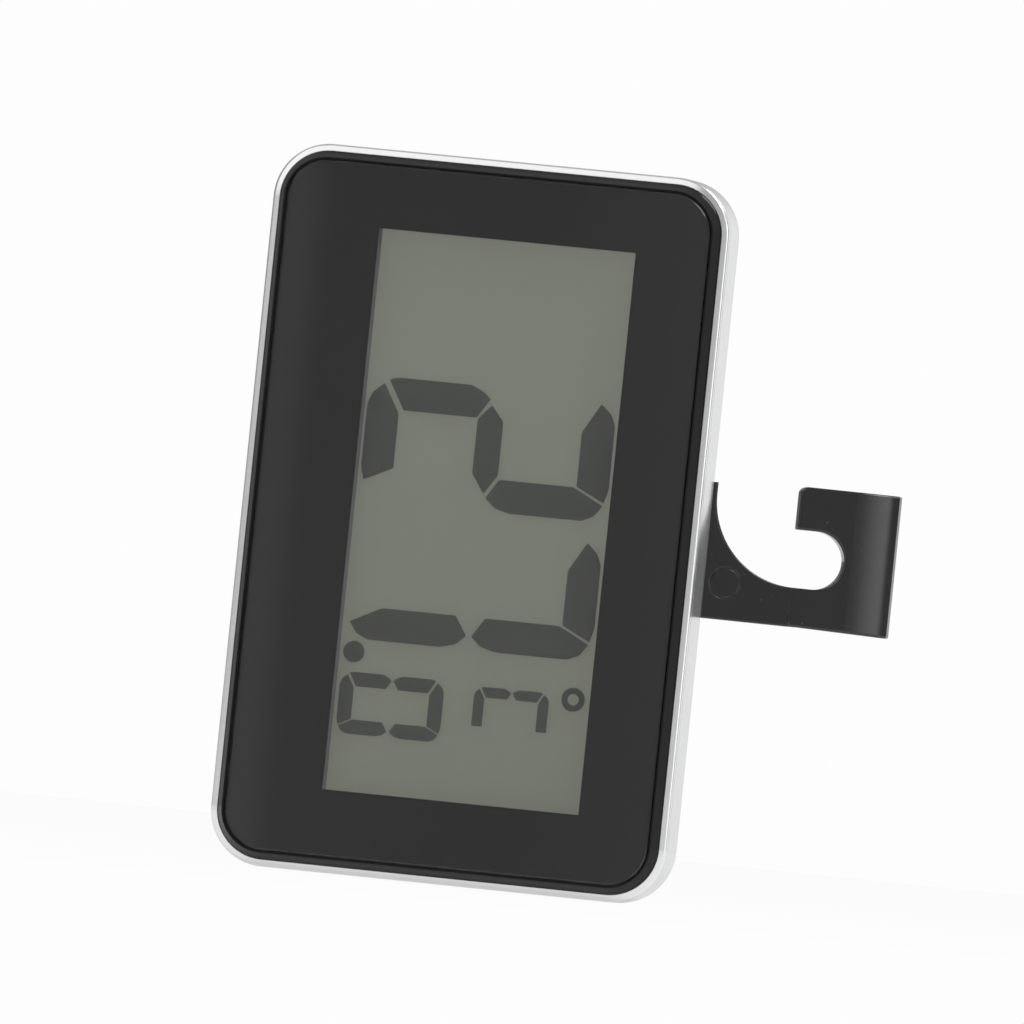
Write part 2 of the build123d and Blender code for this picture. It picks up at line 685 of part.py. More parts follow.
def below_block():
    """Space under the block's lower edge, seen across the arm."""
    foot = ARM_BOTTOM + TIP_LIFT
    low = foot - 5
    slope = TIP_DROP / (ARM_LEN - TIP_S)
    points = [(TIP_S - 1, low), (TIP_S - 1, foot + slope)]
    points += [(ARM_LEN + 1, foot - TIP_DROP - slope), (ARM_LEN + 1, low)]
    return make_face(Polyline(*points, close=True))


def mouth_corner(block):
    """Upper edge of the block beside the mouth."""
    corner = Vector(MOUTH_S, 0, ARM_TOP)
    return [edge for edge in block.edges() if (edge.center() - corner).length < 0.1]


def flat_face_edges(solid, reach):
    """Edges round the two flat faces that lie at -reach and +reach across the arm."""
    return [edge for edge in solid.edges()
            if all(abs(abs(edge.position_at(t).Y) - reach) < 1e-4 for t in (0, 0.5, 1))]


def make_hook_arm():
    web = Pos(TIP_S / 2 + 0.5, 0) * Rectangle(TIP_S + 1, WEB_T)
    block = arm_piece(tip_section(), ARM_BOTTOM - TIP_DROP, ARM_TOP)
    block -= prism(below_block(), -TIP_T, TIP_T)
    block = fillet(mouth_corner(block), MOUTH_ROUND)
    block = fillet(block.edges(), EDGE_ROUND)
    blade = arm_piece(web, ARM_BOTTOM, WEB_TOP)
    blade = fillet(flat_face_edges(blade, WEB_T / 2), WEB_ROUND)
    barrel = arm_piece(Circle(BARREL_R), ARM_BOTTOM, WEB_TOP)
    arm = barrel + blade + block
    ring = Circle(MARK_R) - Circle(MARK_R - MARK_LINE)
    face_y = -WEB_T / 2
    arm -= prism(Pos(MARK_S, MARK_Z) * ring, face_y - 1, face_y + MARK_DEPTH)
    arm -= Cylinder(PIN_R + PIN_RUN, 4 * ARM_TOP)
    return Pos(HINGE_X, HINGE_Y, 0) * Rot(0, 0, BEHIND_DEG) * arm


PIECES = {
    "back_shell": make_back_shell,
    "bezel_ring": make_bezel_ring,
    "front_frame": make_front_frame,
    "front_lens": make_front_lens,
    "window_mask": make_window_mask,
    "lens_tape": make_lens_tape,
    "lcd_polarizer": make_polarizer,
    "lcd_front_glass": make_front_glass,
    "lcd_seal": make_cell_seal,
    "lcd_segments": make_segments,
    "lcd_rear_glass": make_rear_glass,
    "lcd_reflector": make_reflector,
    "lcd_holder": make_cell_holder,
    "contact_strip": make_contact_strip,
    "circuit_board": make_board,
    "board_screws": make_board_screws,
    "controller_chip": make_controller_chip,
    "quartz_crystal": make_quartz_crystal,
    "thermistor": make_thermistor,
    "capacitors": make_capacitors,
    "resistors": make_resistors,
    "tact_switches": make_switches,
    "coin_cell_can": make_coin_can,
    "coin_cell_gasket": make_coin_gasket,
    "coin_cell_cap": make_coin_cap,
    "negative_contact": make_negative_contact,
    "positive_contact": make_positive_contact,
    "battery_door": make_battery_door,
    "case_screws": make_case_screws,
    "hinge_pin": make_hinge_pin,
    "hook_arm": make_hook_arm,
}

os.makedirs("parts", exist_ok=True)
for node, make in PIECES.items():
    export_step(make(), f"parts/{node}.step")
for node, x in BUTTON_PLACES.items():
    export_step(make_button(x), f"parts/{node}.step")
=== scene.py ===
import bpy
import math
from mathutils import Matrix, Vector


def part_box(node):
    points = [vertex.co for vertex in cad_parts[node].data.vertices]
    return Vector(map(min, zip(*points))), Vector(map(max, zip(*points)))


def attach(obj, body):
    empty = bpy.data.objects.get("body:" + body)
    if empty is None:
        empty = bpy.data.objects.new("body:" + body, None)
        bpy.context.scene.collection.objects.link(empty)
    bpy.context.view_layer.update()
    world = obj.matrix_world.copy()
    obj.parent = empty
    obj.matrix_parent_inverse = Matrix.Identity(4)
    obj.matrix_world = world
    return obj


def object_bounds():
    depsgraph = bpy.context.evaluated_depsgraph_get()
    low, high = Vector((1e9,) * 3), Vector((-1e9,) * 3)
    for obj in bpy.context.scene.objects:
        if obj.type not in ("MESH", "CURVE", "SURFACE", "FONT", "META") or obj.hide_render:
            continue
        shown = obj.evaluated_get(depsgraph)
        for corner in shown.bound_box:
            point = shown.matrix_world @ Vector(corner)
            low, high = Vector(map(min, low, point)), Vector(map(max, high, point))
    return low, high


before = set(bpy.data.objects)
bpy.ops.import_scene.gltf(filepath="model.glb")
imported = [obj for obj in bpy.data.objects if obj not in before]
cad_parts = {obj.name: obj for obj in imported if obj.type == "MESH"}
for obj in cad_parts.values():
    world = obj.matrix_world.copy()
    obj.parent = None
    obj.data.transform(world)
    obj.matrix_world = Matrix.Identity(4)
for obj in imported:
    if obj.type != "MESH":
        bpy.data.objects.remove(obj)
CAD_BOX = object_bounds()
MM = 0.001

# ---- Camera: where it stands round the object, in degrees, metres and millimetres ----
VIEW_AZIMUTH = 10.45       # to the right of the display's normal
VIEW_ELEVATION = -0.7
VIEW_ROLL = 5.84           # the object leans this far clockwise in the picture
VIEW_DISTANCE = 3.0
VIEW_FIELD = 123.2         # width of the view at the object, mm
AIM_RIGHT = 5.17           # the picture's centre, from the middle of the ring's front, mm
AIM_UP = 1.24
SENSOR = 36.0
CLIP_NEAR = 0.05
CLIP_FAR = 60.0

# ---- Display window, mm ----
WINDOW_SIZE = (31.5, 67.9)
WINDOW_AT = (1.33, 0.24)
LINER_WALL = 0.26          # thickness of the dust seal round the window
LINER_LEAN = 0.20          # how far the seal's left wall leans into the window
LINER_FRONT_GAP = 0.02     # from the printed mask to the seal
LINER_REAR_GAP = 0.03      # from the seal to the polarizing film

CONTACT_PAIRS_PER_MM = 3.0     # dark and pink layers of the contact strip

# Painted light: the display's reflector glows by itself, so it shows no shade at the window's edges; the
# glow is weaker towards the lower end
REFLECTOR_PAINTED_GLOW = (0.98, 1.0, 0.86)
REFLECTOR_PAINTED_GLOW_STRENGTH = 0.153
REFLECTOR_PAINTED_GLOW_FADE = 0.85      # share that is left at the display's lower end

# ---- Light ----
BACKDROP_WHITE = 0.985
# Brightness of the studio all round, by azimuth in degrees:
# 0 is in front of the display, 90 on the hook's side
STUDIO_WALLS = (
    # Behind the object, on the left
    (-180, 0.60), (-165, 0.34), (-152, 0.12), (-125, 0.15), (-100, 0.25),
    # Front left and front
    (-62, 0.34), (-48, 0.43), (-38, 0.42), (-14, 0.33), (14, 0.35), (24, 0.45),
    # Front right, up to the brightest wall
    (36, 0.76), (47, 1.22), (58, 1.60), (70, 1.92),
    # Right
    (73, 0.35), (90, 0.22), (108, 0.24),
    # Behind the object, on the right
    (118, 0.70), (150, 0.90), (163, 0.98), (170, 0.88), (180, 0.62),
)
BRIGHTEST = 2.0            # brightness that the walls' colour ramp shows as white
STUDIO_TOP = 0.42
STUDIO_TOP_BACK = 0.55     # overhead, behind the object
STUDIO_BOTTOM = 0.60
# Where the walls turn into the top and bottom, by the height of the direction, from -1 down to 1 up
TOP_FADE = (0.25, 0.80)
BOTTOM_FADE = (-0.70, -0.15)
TOP_BACK_FADE = (0.05, 0.45)   # where the top turns into its back part, by how far back it lies

# Soft lights: name, direction from the object, distance and width in metres, watts
SOFTBOXES = (
    ("key_softbox", (0.60, -0.12, 0.79), 1.2, 0.60, 7.0),
    ("fill_softbox", (-0.40, -0.75, 0.50), 1.6, 1.60, 5.0),
)

# What the flat lens mirrors at the camera: a dim wall that is a little brighter in a strip at the left,
# towards the right side and towards the lower left corner. Widths are of the lens's mirror image.
DIM_WALL = 0.372
CARD_AT_Y = -1.0
CARD_BOTTOM = -0.3
CARD_TOP = 0.4
CARD_LEFT = 4              # how far the wall runs on at the left, in widths
CARD_RIGHT = 2
STRIP_GAIN = 0.13
STRIP_WIDTH = 4.0          # on the lens, mm
STRIP_SOFT = 2.0           # half the width of the strip's soft edge, mm
SIDE_GAIN = 0.07
SIDE_SPAN = 0.35           # in widths
CORNER_GAIN = 0.055
CORNER_SPAN = 0.7          # in widths
CORNER_HEIGHT = (-0.5, 1.0)    # from full to none, in widths above the middle

FLOOR_GAP = 0.2            # from the object down to the floor, mm
FLOOR_FRONT = 0.45         # the floor ends this far in front, so the lens doesn't mirror it
FLOOR_REACH = 6.0
FLOOR_GLOW = 0.96          # share of the backdrop's white in the floor's look
FLOOR_SHEEN = 0.50         # the same share in what polished surfaces mirror

# ---- Rays ----
BOUNCES = 16
CLEAR_BOUNCES = 32         # through see-through layers
BEVEL_SAMPLES = 4          # for each softened edge


# ---------------------------------------------------------------- node helpers
class Shader:
    """A material under construction, with short ways to add and join its nodes."""

    def __init__(self, name):
        self.material = bpy.data.materials.new(name)
        self.material.use_nodes = True
        self.tree = self.material.node_tree
        self.tree.nodes.clear()
        self.output = self.add("ShaderNodeOutputMaterial")
        self.coords = self.add("ShaderNodeTexCoord").outputs["Object"]

    def add(self, kind, **settings):
        node = self.tree.nodes.new(kind)
        for key, value in settings.items():
            setattr(node, key, value)
        return node

    def join(self, source, target):
        self.tree.links.new(source, target)

    def feed(self, socket, value):
        if isinstance(value, bpy.types.NodeSocket):
            self.join(value, socket)
        else:
            socket.default_value = value

    def math(self, operation, a, b=0.0, clamp=False):
        node = self.add("ShaderNodeMath", operation=operation, use_clamp=clamp)
        self.feed(node.inputs[0], a)
        self.feed(node.inputs[1], b)
        return node.outputs[0]

    def noise(self, per_mm, detail=3.0, roughness=0.55, stretch=(1, 1, 1), seed=0.0):
        """Noise from 0 to 1, with about per_mm grains to the millimetre."""
        mapping = self.add("ShaderNodeMapping")
        self.join(self.coords, mapping.inputs["Vector"])
        mapping.inputs["Location"].default_value = (seed, seed * 0.7, seed * 1.3)
        mapping.inputs["Scale"].default_value = [per_mm / MM * s for s in stretch]
        node = self.add("ShaderNodeTexNoise")
        self.join(mapping.outputs[0], node.inputs["Vector"])
        node.inputs["Scale"].default_value = 1.0
        node.inputs["Detail"].default_value = detail
        node.inputs["Roughness"].default_value = roughness
        return node.outputs["Fac"]

    def ramp(self, value, low, high, at=(0.0, 1.0)):
        """value mapped from the span at to the span low..high."""
        node = self.add("ShaderNodeMapRange", clamp=True)
        self.feed(node.inputs["Value"], value)
        node.inputs["From Min"].default_value = at[0]
        node.inputs["From Max"].default_value = at[1]
        self.feed(node.inputs["To Min"], low)
        self.feed(node.inputs["To Max"], high)
        return node.outputs["Result"]

    def blend(self, factor, a, b):
        """Number between a and b; a Mix node keeps its numbers in sockets 2 and 3."""
        node = self.add("ShaderNodeMix", data_type="FLOAT")
        self.feed(node.inputs[0], factor)
        self.feed(node.inputs[2], a)
        self.feed(node.inputs[3], b)
        return node.outputs[0]

    def mix_colour(self, factor, a, b):
        """Colour between a and b; a Mix node keeps its colours in sockets 6 and 7."""
        node = self.add("ShaderNodeMix", data_type="RGBA")
        self.feed(node.inputs[0], factor)
        self.feed(node.inputs[6], rgba(a) if isinstance(a, tuple) else a)
        self.feed(node.inputs[7], rgba(b) if isinstance(b, tuple) else b)
        return node.outputs[2]

    def bump(self, height, strength, depth_mm, normal=None):
        node = self.add("ShaderNodeBump")
        node.inputs["Strength"].default_value = strength
        node.inputs["Distance"].default_value = depth_mm * MM
        self.join(height, node.inputs["Height"])
        if normal is not None:
            self.join(normal, node.inputs["Normal"])
        return node.outputs["Normal"]

    def scratches(self, per_mm, seed, width=0.012):
        """Fine hairlines along Z: thin bands of a stretched noise, 0 or 1."""
        lines = self.noise(per_mm, detail=1.0, stretch=(1.0, 1.0, 0.05), seed=seed)
        distance = self.math("ABSOLUTE", self.math("SUBTRACT", lines, 0.5))
        return self.math("LESS_THAN", distance, width)

    def rounded(self, radius_mm):
        """Normal that turns softly over sharp edges."""
        node = self.add("ShaderNodeBevel", samples=BEVEL_SAMPLES)
        node.inputs["Radius"].default_value = radius_mm * MM
        return node.outputs[0]

    def edge_wear(self, radius_mm):
        """1 on sharp edges, 0 on flats."""
        rounded = self.add("ShaderNodeBevel", samples=BEVEL_SAMPLES)
        rounded.inputs["Radius"].default_value = radius_mm * MM
        plain = self.add("ShaderNodeNewGeometry")
        dot = self.add("ShaderNodeVectorMath", operation="DOT_PRODUCT")
        self.join(rounded.outputs[0], dot.inputs[0])
        self.join(plain.outputs["Normal"], dot.inputs[1])
        return self.ramp(dot.outputs["Value"], 1.0, 0.0, at=(0.80, 0.995))

    def facing(self, axis):
        """How far the surface faces along an object axis, 0 to 1, either way."""
        coords = self.add("ShaderNodeTexCoord")
        parts = self.add("ShaderNodeSeparateXYZ")
        self.join(coords.outputs["Normal"], parts.inputs[0])
        return self.math("ABSOLUTE", parts.outputs[axis])

    def surface(self, **sockets):
        node = self.add("ShaderNodeBsdfPrincipled")
        for key, value in sockets.items():
            name = key.replace("_", " ").title().replace("Ior", "IOR")
            self.feed(node.inputs[name], rgba(value) if isinstance(value, tuple) else value)
        return node.outputs[0]

    def done(self, shader):
        self.join(shader, self.output.inputs["Surface"])
        return self.material


def rgba(colour):
    return (*colour, 1.0) if len(colour) == 3 else colour


def grey(value):
    return (value, value, value)


def scaled(factor, values):
    return tuple(factor * value for value in values)


# ---------------------------------------------------------------- materials
def silver_plastic():
    """Silver-coated moulding: polished sides, a finely sparked back face."""
    s = Shader("silver_plastic")
    back = s.ramp(s.facing("Y"), 0.0, 1.0, at=(0.90, 0.985))
    grain = s.noise(9.0, detail=4.0, seed=3.0)
    cloud = s.noise(0.05, detail=3.0, seed=7.0)
    flake = s.noise(16.0, detail=1.0, seed=11.0)
    tone = s.mix_colour(cloud, (0.74, 0.745, 0.75), (0.80, 0.805, 0.81))
    tone = s.mix_colour(s.ramp(flake, 0.0, 0.16, at=(0.45, 0.75)), tone, grey(0.90))
    wear = s.edge_wear(0.25)
    tone = s.mix_colour(s.math("MULTIPLY", wear, 0.25), tone, grey(0.93))
    rough = s.ramp(back, 0.20, 0.40)
    rough = s.math("ADD", rough, s.ramp(s.noise(0.4, seed=5.0), -0.02, 0.05))
    fine = s.math("MULTIPLY", grain, s.ramp(back, 0.02, 1.0))
    normal = s.bump(fine, 0.35, 0.02, s.rounded(0.12))
    return s.done(s.surface(base_color=tone, metallic=0.82, roughness=rough, normal=normal,
                            coat_weight=0.2, coat_roughness=0.08))


def bright_plating():
    """Plated ring with a satin shimmer."""
    s = Shader("bright_plating")
    cloud = s.noise(0.12, detail=3.0, seed=2.0)
    tone = s.mix_colour(cloud, (0.86, 0.865, 0.87), (0.93, 0.93, 0.935))
    rough = s.ramp(s.noise(1.5, detail=4.0, seed=9.0), 0.14, 0.22)
    normal = s.bump(s.noise(7.0, detail=3.0, seed=4.0), 0.12, 0.01, s.rounded(0.15))
    return s.done(s.surface(base_color=tone, metallic=1.0, roughness=rough, normal=normal))


def polished_black(name, colour, rough_span, specular):
    """Polished black moulding with faint clouding, hairlines and lighter edges."""
    s = Shader(name)
    cloud = s.noise(0.08, detail=4.0, seed=6.0)
    tone = s.mix_colour(cloud, scaled(0.75, colour), colour)
    wear = s.math("MULTIPLY", s.edge_wear(0.12), s.noise(1.2, seed=8.0))
    tone = s.mix_colour(s.math("MULTIPLY", wear, 0.35), tone, grey(0.12))
    rough = s.ramp(s.noise(0.7, detail=4.0, seed=12.0), *rough_span)
    hairlines = s.math("MULTIPLY", s.scratches(4.0, 17.0, width=0.006), 0.04)
    rough = s.math("ADD", rough, hairlines, clamp=True)
    normal = s.bump(s.noise(5.0, detail=2.0, seed=10.0), 0.06, 0.01, s.rounded(0.10))
    return s.done(s.surface(base_color=tone, roughness=rough, normal=normal, specular_ior_level=specular))


def clear_for_lamps(s, shader, tint):
    """Glass that lets lamp light pass straight through, so what lies behind is lit."""
    passing = s.add("ShaderNodeBsdfTransparent")
    passing.inputs["Color"].default_value = rgba(tint)
    ray = s.add("ShaderNodeLightPath")
    mix = s.add("ShaderNodeMixShader")
    s.join(ray.outputs["Is Shadow Ray"], mix.inputs[0])
    s.join(shader, mix.inputs[1])
    s.join(passing.outputs[0], mix.inputs[2])
    return mix.outputs[0]


def clear_acrylic():
    """Clear lens with a few hairlines."""
    s = Shader("clear_acrylic")
    rough = s.math("MULTIPLY", s.scratches(0.8, 31.0, width=0.004), 0.05)
    shader = s.surface(base_color=(0.985, 0.99, 0.99), roughness=rough, ior=1.49, transmission_weight=1.0)
    return s.done(clear_for_lamps(s, shader, grey(0.97)))


def thin_pane(name, tint, gloss, roughness):
    """Film or thin plate: what is behind shows straight through, under a faint gloss."""
    s = Shader(name)
    through = s.add("ShaderNodeBsdfTransparent")
    speck = s.noise(4.0, detail=2.0, seed=14.0)
    lighter = tuple(min(1.0, 1.02 * c) for c in tint)
    s.join(s.mix_colour(speck, tint, lighter), through.inputs["Color"])
    sheen = s.add("ShaderNodeBsdfGlossy")
    sheen.inputs["Roughness"].default_value = roughness
    fresnel = s.add("ShaderNodeFresnel")
    fresnel.inputs["IOR"].default_value = 1.45
    mix = s.add("ShaderNodeMixShader")
    s.join(s.math("MULTIPLY", fresnel.outputs[0], gloss), mix.inputs[0])
    s.join(through.outputs[0], mix.inputs[1])
    s.join(sheen.outputs[0], mix.inputs[2])
    return s.done(mix.outputs[0])


def printed_mask():
    """Black print behind the lens, with the slight orange-peel of the ink."""
    s = Shader("printed_mask")
    cloud = s.noise(0.03, detail=2.0, seed=15.0)
    tone = s.mix_colour(cloud, grey(0.0055), grey(0.0075))
    normal = s.bump(s.noise(3.0, detail=2.0, seed=16.0), 0.2, 0.01)
    return s.done(s.surface(base_color=tone, roughness=0.6, normal=normal, specular_ior_level=0.0))


def display_reflector():
    """Grey-green film behind the liquid crystal: fine sparkle, and a painted glow, weaker downwards, that
    keeps it evenly bright where the window's edges would shade it.
    """
    s = Shader("display_reflector")
    fine = s.noise(7.0, detail=3.0, seed=18.0)
    broad = s.noise(0.03, detail=2.0, seed=19.0)
    tone = s.mix_colour(fine, (0.125, 0.128, 0.109), (0.150, 0.153, 0.131))
    tone = s.mix_colour(s.math("MULTIPLY", broad, 0.35), tone, (0.120, 0.123, 0.104))
    normal = s.bump(fine, 0.25, 0.02)
    # Painted light: the film glows by itself, more at the top than at the lower end
    parts = s.add("ShaderNodeSeparateXYZ")
    s.join(s.coords, parts.inputs[0])
    half = WINDOW_SIZE[1] / 2 * MM
    height = s.ramp(parts.outputs["Z"], 0.0, 1.0, at=(-half, half))
    glow = s.mix_colour(height, scaled(REFLECTOR_PAINTED_GLOW_FADE, REFLECTOR_PAINTED_GLOW), REFLECTOR_PAINTED_GLOW)
    return s.done(s.surface(base_color=tone, roughness=0.7, normal=normal, specular_ior_level=0.1,
                            emission_color=glow, emission_strength=REFLECTOR_PAINTED_GLOW_STRENGTH))


def display_segment():
    """Dark grey of a liquid crystal segment that is switched on."""
    s = Shader("display_segment")
    fine = s.noise(5.0, detail=3.0, seed=20.0)
    tone = s.mix_colour(fine, (0.084, 0.086, 0.088), (0.088, 0.090, 0.092))
    return s.done(s.surface(base_color=tone, roughness=0.6, specular_ior_level=0.2))


def moulded_black(name, colour, rough_span, grain_mm, depth_mm, specular=0.5):
    """Satin black moulding: flow streaks along Z, fine grain, pale specks, worn edges."""
    s = Shader(name)
    streak = s.noise(0.35, detail=4.0, stretch=(1.0, 1.0, 0.12), seed=22.0)
    blotch = s.noise(0.22, detail=3.0, seed=23.0)
    tone = s.mix_colour(blotch, scaled(0.7, colour), scaled(1.25, colour))
    wear = s.math("MULTIPLY", s.edge_wear(0.18), s.ramp(s.noise(0.9, seed=24.0), 0.0, 1.0, at=(0.35, 0.7)))
    tone = s.mix_colour(s.math("MULTIPLY", wear, 0.6), tone, (0.16, 0.16, 0.165))
    speck = s.math("GREATER_THAN", s.noise(2.2, detail=2.0, seed=25.0), 0.74)
    tone = s.mix_colour(s.math("MULTIPLY", speck, 0.25), tone, grey(0.20))
    rough = s.ramp(streak, *rough_span, at=(0.3, 0.7))
    grain = s.noise(1.0 / grain_mm, detail=3.0, seed=26.0)
    normal = s.bump(grain, 0.5, depth_mm, s.rounded(0.15))
    normal = s.bump(streak, 0.25, 0.03, normal)
    return s.done(s.surface(base_color=tone, roughness=rough, normal=normal, ior=1.5,
                            specular_ior_level=specular))


def metal(name, colour, rough_span, seed):
    """Bare or plated metal under a fine brushed grain, with brighter edges."""
    s = Shader(name)
    brushed = s.noise(3.0, detail=3.0, stretch=(1.0, 0.2, 1.0), seed=seed)
    tone = s.mix_colour(brushed, scaled(0.85, colour), colour)
    wear = s.math("MULTIPLY", s.edge_wear(0.06), 0.4)
    tone = s.mix_colour(wear, tone, grey(0.92))
    rough = s.ramp(brushed, *rough_span)
    return s.done(s.surface(base_color=tone, metallic=1.0, roughness=rough,
                            normal=s.bump(brushed, 0.15, 0.01)))


def soft_solid(name, dark, light, rough_span, per_mm, seed):
    """Dull inner piece: two tones of one colour under a fine grain."""
    s = Shader(name)
    grain = s.noise(per_mm, detail=4.0, seed=seed)
    tone = s.mix_colour(grain, dark, light)
    rough = s.ramp(grain, *rough_span)
    return s.done(s.surface(base_color=tone, roughness=rough, normal=s.bump(grain, 0.3, 0.02)))


def board_green():
    """Green solder mask over copper tracks that run along the board."""
    s = Shader("board_green")
    wave = s.add("ShaderNodeTexWave", wave_type="BANDS", bands_direction="X")
    mapping = s.add("ShaderNodeMapping")
    s.join(s.coords, mapping.inputs["Vector"])
    mapping.inputs["Scale"].default_value = [0.25 / MM] * 3
    s.join(mapping.outputs[0], wave.inputs["Vector"])
    wave.inputs["Distortion"].default_value = 3.0
    tracks = s.math("GREATER_THAN", wave.outputs["Fac"], 0.72)
    tone = s.mix_colour(tracks, (0.010, 0.075, 0.035), (0.030, 0.160, 0.075))
    return s.done(s.surface(base_color=tone, roughness=0.35, normal=s.bump(tracks, 0.4, 0.03)))


def contact_rubber():
    """Conductive rubber strip: thin dark and pink layers in turn."""
    s = Shader("contact_rubber")
    parts = s.add("ShaderNodeSeparateXYZ")
    s.join(s.coords, parts.inputs[0])
    phase = s.math("MULTIPLY", parts.outputs["Z"], CONTACT_PAIRS_PER_MM * math.tau / MM)
    layers = s.math("GREATER_THAN", s.math("SINE", phase), 0.0)
    tone = s.mix_colour(layers, (0.45, 0.22, 0.18), grey(0.03))
    return s.done(s.surface(base_color=tone, roughness=0.6))


# ---------------------------------------------------------------- finish on the CAD nodes
def paint(material, *names):
    for name in names:
        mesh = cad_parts[name].data
        mesh.materials.clear()
        mesh.materials.append(material)


def add_window_liner():
    """Grey dust seal round the display window, between the printed mask and the polarizing film."""
    front_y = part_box("window_mask")[1].y + LINER_FRONT_GAP * MM
    rear_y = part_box("lcd_polarizer")[0].y - LINER_REAR_GAP * MM
    width, height = WINDOW_SIZE[0] * MM, WINDOW_SIZE[1] * MM
    middle = Vector((WINDOW_AT[0] * MM, 0.0, WINDOW_AT[1] * MM))
    thick = LINER_WALL * MM
    lean = LINER_LEAN * MM

    def corners(grow, y, left_shift=0.0):
        half_x, half_z = width / 2 + grow, height / 2 + grow
        return [middle + Vector((sx * half_x + (left_shift if sx < 0 else 0.0), y, sz * half_z))
                for sx, sz in ((-1, -1), (1, -1), (1, 1), (-1, 1))]

    loops = (
        corners(thick, front_y),
        corners(0.0, front_y),
        corners(0.0, rear_y, lean),
        corners(thick, rear_y),
    )
    points = [point for loop in loops for point in loop]
    sides = len(loops[0])
    faces = []
    for loop in range(len(loops)):
        here = loop * sides
        after = (loop + 1) % len(loops) * sides
        for corner in range(sides):
            beside = (corner + 1) % sides
            faces.append((here + corner, here + beside, after + beside, after + corner))
    mesh = bpy.data.meshes.new("window_liner")
    mesh.from_pydata(points, [], faces)
    mesh.update()
    liner = bpy.data.objects.new("window_liner", mesh)
    bpy.context.scene.collection.objects.link(liner)
    mesh.materials.append(soft_solid("liner_foam", (0.088, 0.088, 0.090), (0.128, 0.128, 0.130),
                                     rough_span=(0.6, 0.8), per_mm=5.0, seed=61.0))
    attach(liner, "casing")


def finish_nodes():
    paint(silver_plastic(), "back_shell", "battery_door")
    paint(bright_plating(), "bezel_ring")
    paint(polished_black("frame_black", (0.009, 0.009, 0.0095), rough_span=(0.08, 0.16), specular=0.16),
          "front_frame")
    paint(clear_acrylic(), "front_lens")
    paint(printed_mask(), "window_mask")
    paint(soft_solid("tape_black", grey(0.02), grey(0.04), rough_span=(0.6, 0.8), per_mm=6.0, seed=40.0),
          "lens_tape")
    paint(thin_pane("polarizing_film", (0.93, 0.935, 0.915), gloss=0.08, roughness=0.25), "lcd_polarizer")
    paint(thin_pane("display_glass", (0.985, 0.99, 0.985), gloss=0.03, roughness=0.05),
          "lcd_front_glass", "lcd_rear_glass")
    paint(display_reflector(), "lcd_reflector")
    paint(display_segment(), "lcd_segments")
    paint(soft_solid("seal_resin", (0.45, 0.44, 0.40), (0.60, 0.59, 0.55),
                     rough_span=(0.4, 0.6), per_mm=5.0, seed=41.0), "lcd_seal")
    paint(moulded_black("inner_black", grey(0.03), rough_span=(0.4, 0.6), grain_mm=0.2, depth_mm=0.02),
          "lcd_holder", "tact_switches")
    paint(contact_rubber(), "contact_strip")
    paint(board_green(), "circuit_board")
    paint(soft_solid("chip_resin", grey(0.008), grey(0.02), rough_span=(0.15, 0.3), per_mm=2.0, seed=42.0),
          "controller_chip", "resistors")
    paint(soft_solid("bead_resin", (0.01, 0.03, 0.02), (0.02, 0.05, 0.03),
                     rough_span=(0.2, 0.4), per_mm=3.0, seed=43.0), "thermistor")
    paint(soft_solid("ceramic_tan", (0.35, 0.24, 0.15), (0.48, 0.36, 0.24),
                     rough_span=(0.4, 0.6), per_mm=6.0, seed=44.0), "capacitors")
    paint(soft_solid("gasket_nylon", grey(0.12), grey(0.2), rough_span=(0.4, 0.6), per_mm=5.0, seed=45.0),
          "coin_cell_gasket")
    paint(metal("plated_steel", (0.66, 0.665, 0.67), rough_span=(0.18, 0.36), seed=50.0),
          "case_screws", "board_screws", "hinge_pin", "quartz_crystal", "coin_cell_can", "coin_cell_cap")
    paint(metal("spring_brass", (0.80, 0.70, 0.48), rough_span=(0.2, 0.4), seed=51.0),
          "negative_contact", "positive_contact")
    paint(moulded_black("arm_black", (0.006, 0.006, 0.0065), rough_span=(0.08, 0.15),
                        grain_mm=0.12, depth_mm=0.009, specular=0.7), "hook_arm")
    paint(moulded_black("button_black", (0.028, 0.028, 0.029), rough_span=(0.38, 0.55),
                        grain_mm=0.10, depth_mm=0.02), "max_min_button", "unit_button")


# ---------------------------------------------------------------- studio
def camera_axes():
    """Right, up and back of the camera, in the object's frame."""
    azimuth = math.radians(VIEW_AZIMUTH)
    elevation = math.radians(VIEW_ELEVATION)
    roll = math.radians(VIEW_ROLL)
    level = math.cos(elevation)
    back = Vector((math.sin(azimuth) * level, -math.cos(azimuth) * level, math.sin(elevation)))
    level_right = Vector((math.cos(azimuth), math.sin(azimuth), 0.0))
    right = math.cos(roll) * level_right + math.sin(roll) * back.cross(level_right)
    return right, back.cross(right), back


def add_camera():
    """Camera at the view's angle, rolled so that the object leans; returns its place."""
    right, up, back = camera_axes()
    ring_low, ring_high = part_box("bezel_ring")
    middle = Vector(((ring_low.x + ring_high.x) / 2, ring_low.y, (ring_low.z + ring_high.z) / 2))
    target = middle + AIM_RIGHT * MM * right + AIM_UP * MM * up
    place = target + VIEW_DISTANCE * back
    data = bpy.data.cameras.new("photo_camera")
    data.sensor_width = SENSOR
    data.lens = SENSOR * VIEW_DISTANCE / (VIEW_FIELD * MM)
    data.clip_start = CLIP_NEAR
    data.clip_end = CLIP_FAR
    camera = bpy.data.objects.new("photo_camera", data)
    bpy.context.scene.collection.objects.link(camera)
    camera.matrix_world = Matrix.Translation(place) @ Matrix((right, up, back)).transposed().to_4x4()
    bpy.context.scene.camera = camera
    return place


class Studio(Shader):
    """World shader, built with the same helpers as a material."""

    def __init__(self, name):
        self.world = bpy.data.worlds.new(name)
        self.world.use_nodes = True
        self.tree = self.world.node_tree
        self.tree.nodes.clear()
        self.output = self.add("ShaderNodeOutputWorld")
        self.coords = self.add("ShaderNodeTexCoord").outputs["Generated"]


